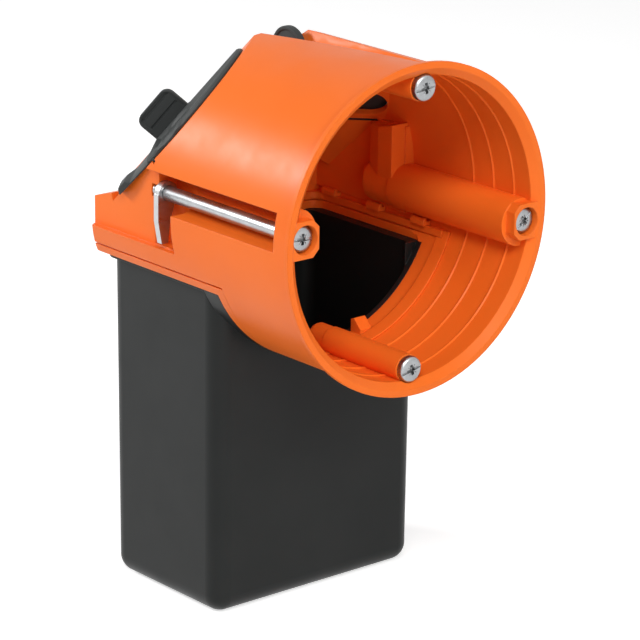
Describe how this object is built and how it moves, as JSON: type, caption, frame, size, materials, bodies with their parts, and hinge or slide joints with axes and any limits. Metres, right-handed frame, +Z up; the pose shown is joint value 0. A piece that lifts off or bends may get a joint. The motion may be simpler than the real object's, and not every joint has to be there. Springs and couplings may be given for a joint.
{
  "type": "drywall back box",
  "caption": "Deep round drywall back box with claw fixings, soft cable seals and a hanging rear pocket for an extra module.",
  "frame": {"origin": "centre of the front rim's face plane", "axes": "+Z up as fixed in a wall, +Y into the wall cavity, the device opening faces -Y, the claw screws lie near the X axis"},
  "size_m": [0.071, 0.0706, 0.1247],
  "materials": {
    "housing_orange": "satin moulded plastic",
    "frame_orange": "satin moulded plastic",
    "pocket_black": "satin moulded plastic",
    "seal_black": "soft matt elastomer",
    "screw_zinc": "bright zinc plating",
    "claw_zinc": "zinc plated sheet"
  },
  "bodies": {
    "box": {"housing": "housing_orange", "pocket_frame": "frame_orange", "pocket": "pocket_black", "seal_left": "seal_black", "seal_right": "seal_black", "seal_top": "seal_black"},
    "left_claw_screw": {"claw_screw_left": "screw_zinc"},
    "left_claw": {"claw_left": "claw_zinc"},
    "right_claw_screw": {"claw_screw_right": "screw_zinc"},
    "right_claw": {"claw_right": "claw_zinc"},
    "top_device_screw": {"device_screw_top": "screw_zinc"},
    "bottom_device_screw": {"device_screw_bottom": "screw_zinc"}
  },
  "joints": [
    {"name": "left_claw_swing", "type": "hinge", "parent": "box", "child": "left_claw_screw", "pos_m": [-0.03052, 0.02, 0.00337], "axis": [0, 1, 0], "range_deg": [0, 90]},
    {"name": "left_claw_travel", "type": "slide", "parent": "left_claw_screw", "child": "left_claw", "axis": [0, -1, 0], "range_m": [0, 0.0036]},
    {"name": "right_claw_swing", "type": "hinge", "parent": "box", "child": "right_claw_screw", "pos_m": [0.03052, 0.02, -0.00337], "axis": [0, 1, 0], "range_deg": [0, 90]},
    {"name": "right_claw_travel", "type": "slide", "parent": "right_claw_screw", "child": "right_claw", "axis": [0, -1, 0], "range_m": [0, 0.0036]},
    {"name": "top_screw_travel", "type": "slide", "parent": "box", "child": "top_device_screw", "axis": [0, -1, 0], "range_m": [0, 0.01]},
    {"name": "bottom_screw_travel", "type": "slide", "parent": "box", "child": "bottom_device_screw", "axis": [0, -1, 0], "range_m": [0, 0.01]}
  ]
}
